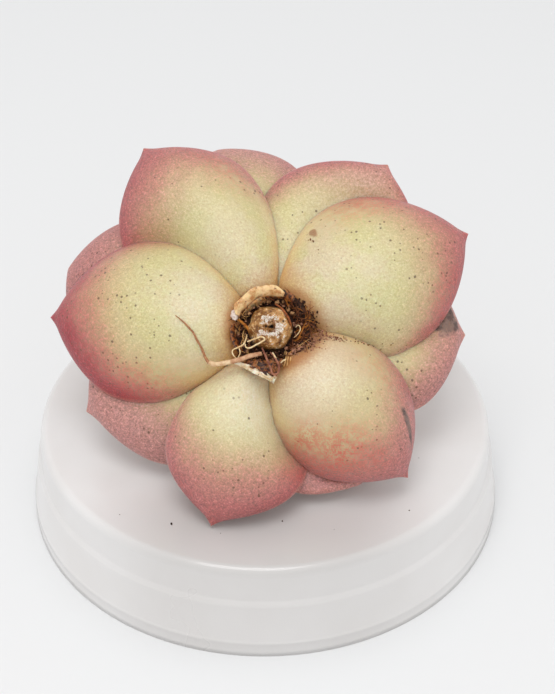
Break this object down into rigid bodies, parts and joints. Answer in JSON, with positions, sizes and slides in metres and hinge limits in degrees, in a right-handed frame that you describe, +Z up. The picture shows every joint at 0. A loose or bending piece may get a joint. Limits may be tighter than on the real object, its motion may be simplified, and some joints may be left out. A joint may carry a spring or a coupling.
{
  "type": "bare-root succulent rosette on an upturned dish",
  "caption": "Bare-root rosette succulent turned over, resting leaves-down on a shallow upturned frosted plastic dish, with its cut stem, dry leaf bases and fine roots showing.",
  "frame": {"origin": "centre of the dish's foot, on the table", "axes": "+Z up; the stem's cut end leans towards -Y; +X is to the right as seen from -Y"},
  "size_m": [0.095, 0.095, 0.0698],
  "materials": {
    "dish": "frosted, translucent, moulded",
    "leaf": "waxy plump leaf, yellow-green in the middle and dusty rose at the edge; leather stands in for the leaf",
    "bark": "rough, corky",
    "dark_fibre": "rough, fibrous",
    "husk": "dry, papery; paper stands in for the dry leaf bases",
    "callus": "dull, corky",
    "root": "dry, stringy"
  },
  "bodies": {
    "root": {"dish": "dish", "stem": "bark", "leaf_01": "leaf", "leaf_02": "leaf", "leaf_03": "leaf", "leaf_04": "leaf", "leaf_05": "leaf", "leaf_06": "leaf", "leaf_07": "leaf", "leaf_08": "leaf", "leaf_09": "leaf", "leaf_10": "leaf", "leaf_11": "leaf", "leaf_12": "leaf", "leaf_13": "leaf", "leaf_14": "leaf", "leaf_15": "leaf", "leaf_16": "leaf", "leaf_17": "leaf", "leaf_18": "leaf", "leaf_19": "leaf", "leaf_20": "leaf", "leaf_21": "leaf", "leaf_22": "leaf", "leaf_23": "leaf", "leaf_24": "leaf", "leaf_25": "leaf", "leaf_26": "leaf", "leaf_27": "leaf", "root_collar": "dark_fibre", "dry_leaf_base_ring": "husk", "dry_leaf_base_flake": "husk", "white_callus": "callus", "root_crumbs": "dark_fibre", "long_root": "root", "looped_root": "root", "curled_root": "root"}
  },
  "joints": []
}
